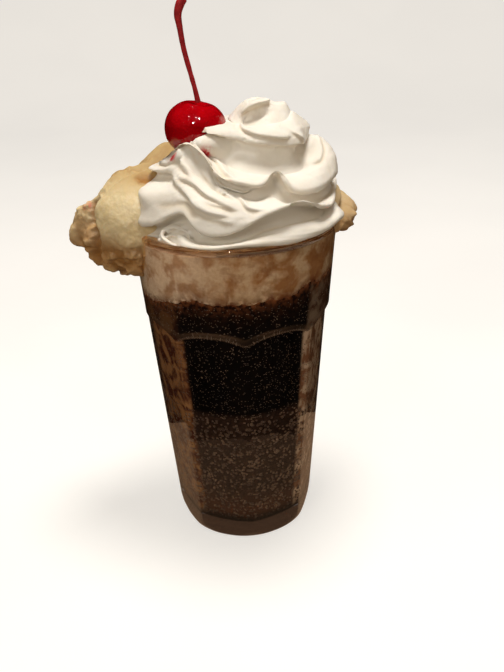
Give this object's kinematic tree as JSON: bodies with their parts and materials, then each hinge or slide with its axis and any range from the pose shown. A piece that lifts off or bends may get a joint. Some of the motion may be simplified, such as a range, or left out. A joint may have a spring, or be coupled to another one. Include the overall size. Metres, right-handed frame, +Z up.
{
  "type": "ice cream float",
  "caption": "Ice cream float in a panelled tumbler: dark soda, brown foam, vanilla scoops over the rim, whipped cream swirl and a cherry with its stem.",
  "frame": {"origin": "centre of the glass's flat base, on the surface it stands on", "axes": "+Z up through the glass; the front, with the cream's open folds, faces -Y; the scoop hung on the rim is at -X"},
  "size_m": [0.1242, 0.0901, 0.239],
  "materials": {
    "clear_glass": "clear pressed glass, smooth and shiny",
    "dark_soda": "dark brown liquid, nearly black where deep, with fine bubbles",
    "brown_foam": "mottled beige and brown foam with fine bubbles",
    "vanilla_ice_cream": "cream-coloured ice cream, smooth dome with a ragged collar, moist",
    "white_cream": "soft white whipped cream with a faint sheen",
    "red_cherry": "deep red syrup-glazed skin, very shiny",
    "red_stem": "dyed red stalk, slightly shiny"
  },
  "bodies": {
    "root": {"glass": "clear_glass", "soda": "dark_soda", "foam": "brown_foam", "scoop_left": "vanilla_ice_cream", "scoop_right": "vanilla_ice_cream", "whipped_cream": "white_cream", "cherry": "red_cherry", "cherry_stem": "red_stem"}
  },
  "joints": []
}
